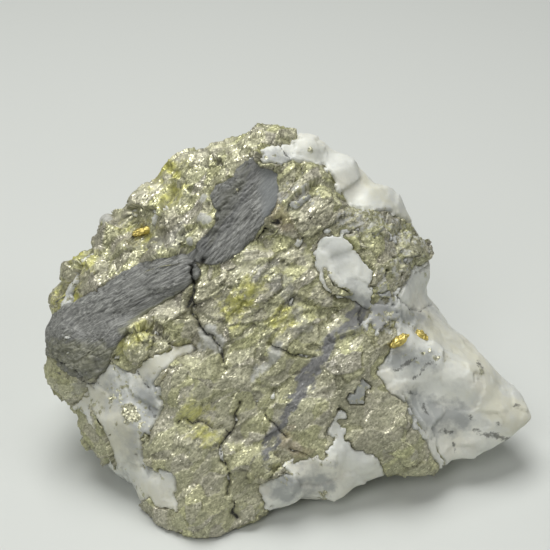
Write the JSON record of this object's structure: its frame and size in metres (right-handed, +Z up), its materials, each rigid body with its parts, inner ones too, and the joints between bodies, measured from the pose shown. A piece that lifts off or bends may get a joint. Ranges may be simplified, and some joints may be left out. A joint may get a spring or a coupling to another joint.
{
  "type": "gold in quartz specimen",
  "caption": "Palm-sized hand specimen of milky quartz with brassy pyrite masses, grey wall-rock slabs and small grains of native gold on its leaning broken face.",
  "frame": {"origin": "on the surface that the specimen stands on, under the middle of its bounding box", "axes": "+Z up; +X towards the pointed quartz arm, the specimen's longest extent; the broken show face looks towards -Y and up"},
  "size_m": [0.0808, 0.0578, 0.0502],
  "materials": {
    "milky_quartz": "broken milky quartz, semi-gloss, opaque",
    "pyrite": "granular, glinting, pale brass-yellow pyrite",
    "wall_rock": "dull grey, finely striated slaty rock",
    "gold": "bright hackly native gold"
  },
  "bodies": {
    "root": {"quartz_matrix": "milky_quartz", "pyrite_main_mass": "pyrite", "pyrite_upper_mass": "pyrite", "pyrite_left_edge": "pyrite", "wall_rock_lower": "wall_rock", "wall_rock_upper": "wall_rock", "gold_grain_leaf": "gold", "gold_grain_right": "gold", "gold_grain_left": "gold"}
  },
  "joints": []
}
